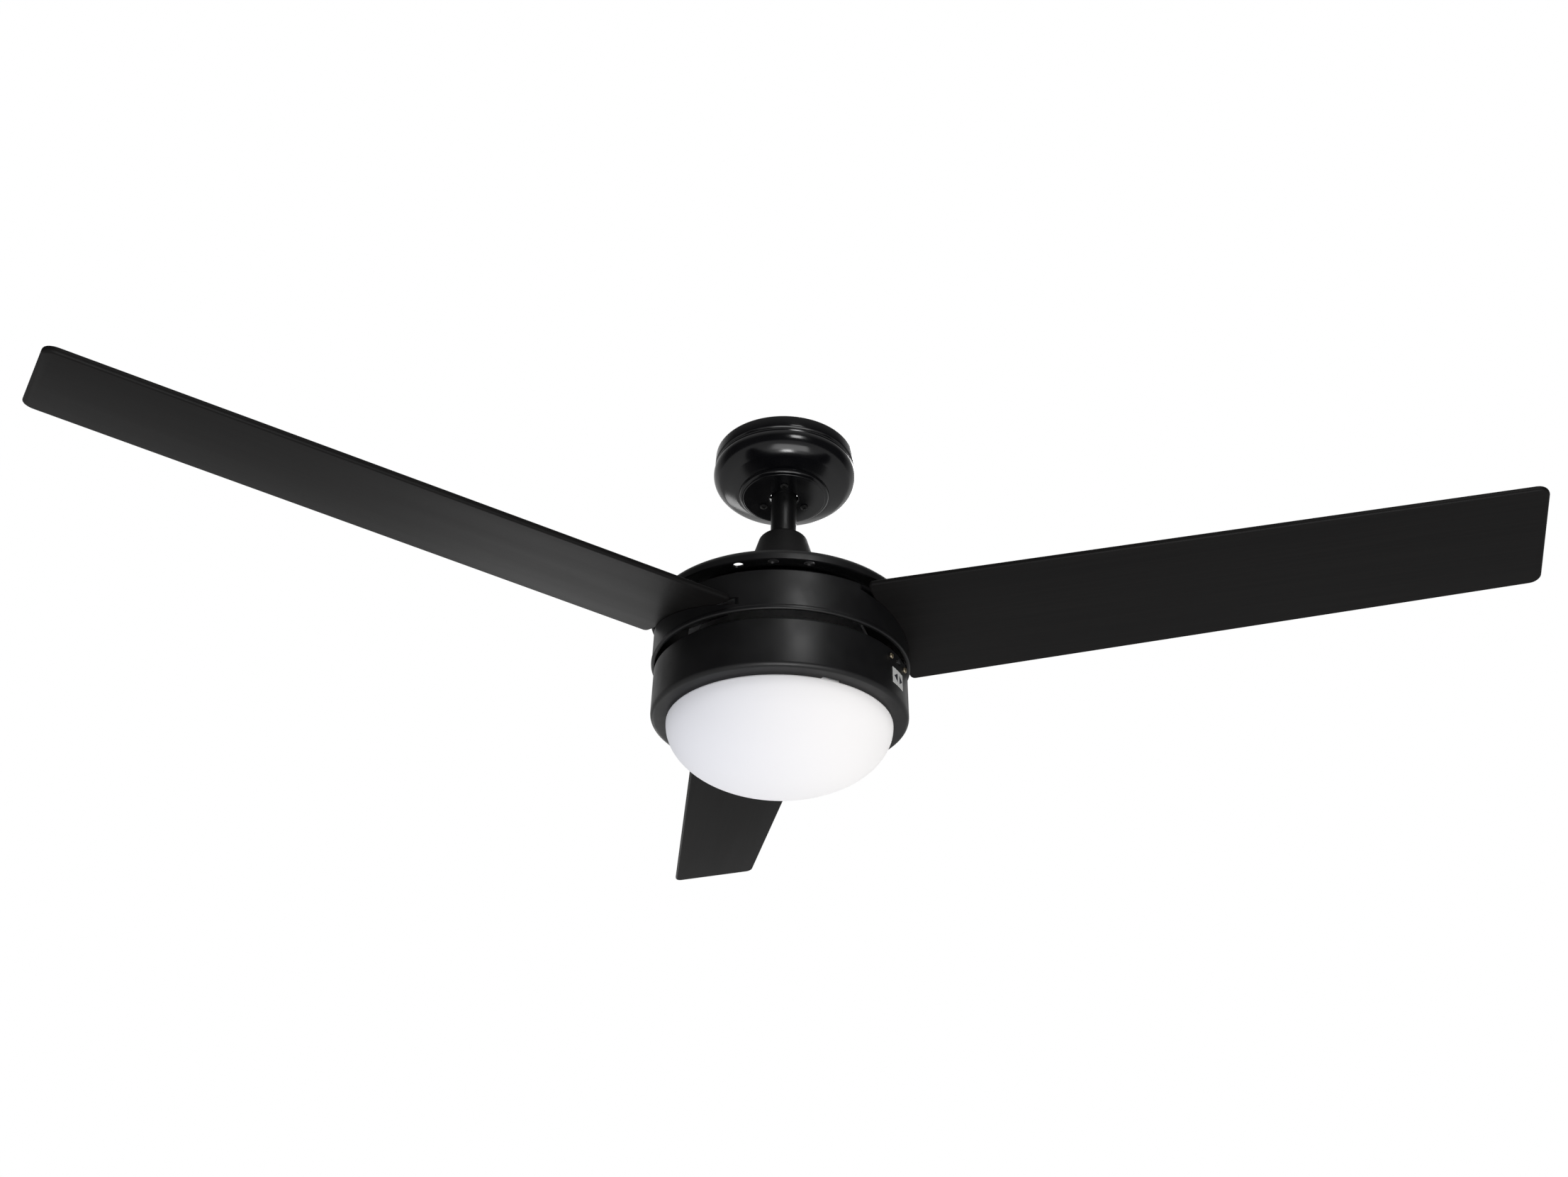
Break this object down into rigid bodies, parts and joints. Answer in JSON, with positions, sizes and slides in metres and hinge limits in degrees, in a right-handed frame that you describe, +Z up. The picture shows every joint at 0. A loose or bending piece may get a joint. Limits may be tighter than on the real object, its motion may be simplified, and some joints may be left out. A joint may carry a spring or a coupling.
{
  "type": "ceiling fan with light",
  "caption": "Downrod ceiling fan with flat pitched blades on a drum-shaped motor ring and a light kit with a shallow opal glass dome.",
  "frame": {"origin": "on the ceiling plane, on the fan's vertical axis, at the middle of the hanger bracket's top face", "axes": "+Z up along the downrod; blade 1 points 22 degrees from +X towards -Y; the reverse switch faces the same side at 27.4 degrees"},
  "size_m": [1.1787, 1.1044, 0.3786],
  "materials": {
    "satin_black": "satin black powder coat with soft highlights",
    "matt_black": "fine matt black paint",
    "blade_dark": "black-brown laminated board, smooth satin face and rounded edges",
    "zinc_plate": "bright zinc plated sheet steel",
    "cast_zinc": "as-cast grey metal with machined faces",
    "cast_aluminium": "die-cast aluminium, lightly textured",
    "steel": "turned steel",
    "lamination": "stacked electrical steel sheets",
    "copper": "varnished copper wire bundle",
    "brass": "yellow passivated metal",
    "black_nylon": "moulded black nylon",
    "lead_sleeve": "black woven sleeve over the motor leads",
    "label_paper": null,
    "white_enamel": "gloss white enamel",
    "porcelain": "glazed lamp holder porcelain",
    "opal_glass": "opal white glass, smooth outside, unlit"
  },
  "bodies": {
    "ceiling_mount": {"ceiling_bracket": "matt_black"},
    "canopy": {"canopy": "satin_black", "canopy_bottom_ring": "satin_black", "canopy_screw_1": "matt_black", "canopy_screw_2": "matt_black", "canopy_screw_3": "matt_black"},
    "suspension": {"hanger_ball": "black_nylon", "hanger_pin": "steel", "hanger_set_screw": "steel", "downrod": "satin_black", "motor_coupling": "cast_zinc", "coupling_pin": "steel", "coupling_clip": "steel", "coupling_set_screw_1": "steel", "coupling_set_screw_2": "steel", "lead_bundle": "lead_sleeve", "motor_shaft": "steel", "motor_top_cover": "satin_black", "stator_core": "lamination", "stator_winding": "copper", "upper_bearing": "steel", "lower_bearing": "steel", "light_kit_plate": "matt_black", "shaft_nut": "steel", "light_kit_pan": "satin_black", "pan_screw_1": "zinc_plate", "pan_screw_2": "zinc_plate", "pan_screw_3": "zinc_plate", "capacitor": "black_nylon", "reverse_switch_body": "black_nylon", "switch_screw_1": "brass", "switch_screw_2": "brass", "switch_label": "label_paper", "reflector_plate": "white_enamel", "lamp_socket_1": "porcelain", "lamp_socket_2": "porcelain", "bulb_base_1": "brass", "bulb_base_2": "brass", "bulb_globe_1": "opal_glass", "bulb_globe_2": "opal_glass"},
    "coupling_cover": {"coupling_cover": "matt_black"},
    "rotor": {"rotor_ring": "satin_black", "rotor_upper_shell": "cast_aluminium", "rotor_lower_shell": "cast_aluminium", "rotor_core": "lamination", "blade_1": "blade_dark", "blade_2": "blade_dark", "blade_3": "blade_dark", "blade_iron_1": "zinc_plate", "blade_iron_2": "zinc_plate", "blade_iron_3": "zinc_plate", "blade_1_screw_1": "zinc_plate", "blade_1_screw_2": "zinc_plate", "blade_2_screw_1": "zinc_plate", "blade_2_screw_2": "zinc_plate", "blade_3_screw_1": "zinc_plate", "blade_3_screw_2": "zinc_plate"},
    "reverse_switch": {"reverse_switch_slider": "black_nylon"},
    "dome": {"dome_collar": "zinc_plate", "glass_dome": "opal_glass"}
  },
  "joints": [
    {"name": "canopy_drop", "type": "slide", "parent": "ceiling_mount", "child": "canopy", "axis": [0, 0, 1], "range_m": [-0.03, 0]},
    {"name": "hanger_tilt", "type": "hinge", "parent": "ceiling_mount", "child": "suspension", "pos_m": [0, 0, -0.0223], "axis": [1, 0, 0], "range_deg": [-1.8, 1.8]},
    {"name": "cover_lift", "type": "slide", "parent": "suspension", "child": "coupling_cover", "axis": [0, 0, 1], "range_m": [0, 0.015]},
    {"name": "rotor_spin", "type": "hinge", "parent": "suspension", "child": "rotor", "pos_m": [0, 0, -0.24], "axis": [0, 0, 1], "continuous": true},
    {"name": "reverse_switch_slide", "type": "slide", "parent": "suspension", "child": "reverse_switch", "axis": [0.4602, 0.8878, 0], "range_m": [0, 0.004]},
    {"name": "dome_twist", "type": "hinge", "parent": "suspension", "child": "dome", "pos_m": [0, 0, -0.31], "axis": [0, 0, 1], "range_deg": [0, 25]}
  ]
}
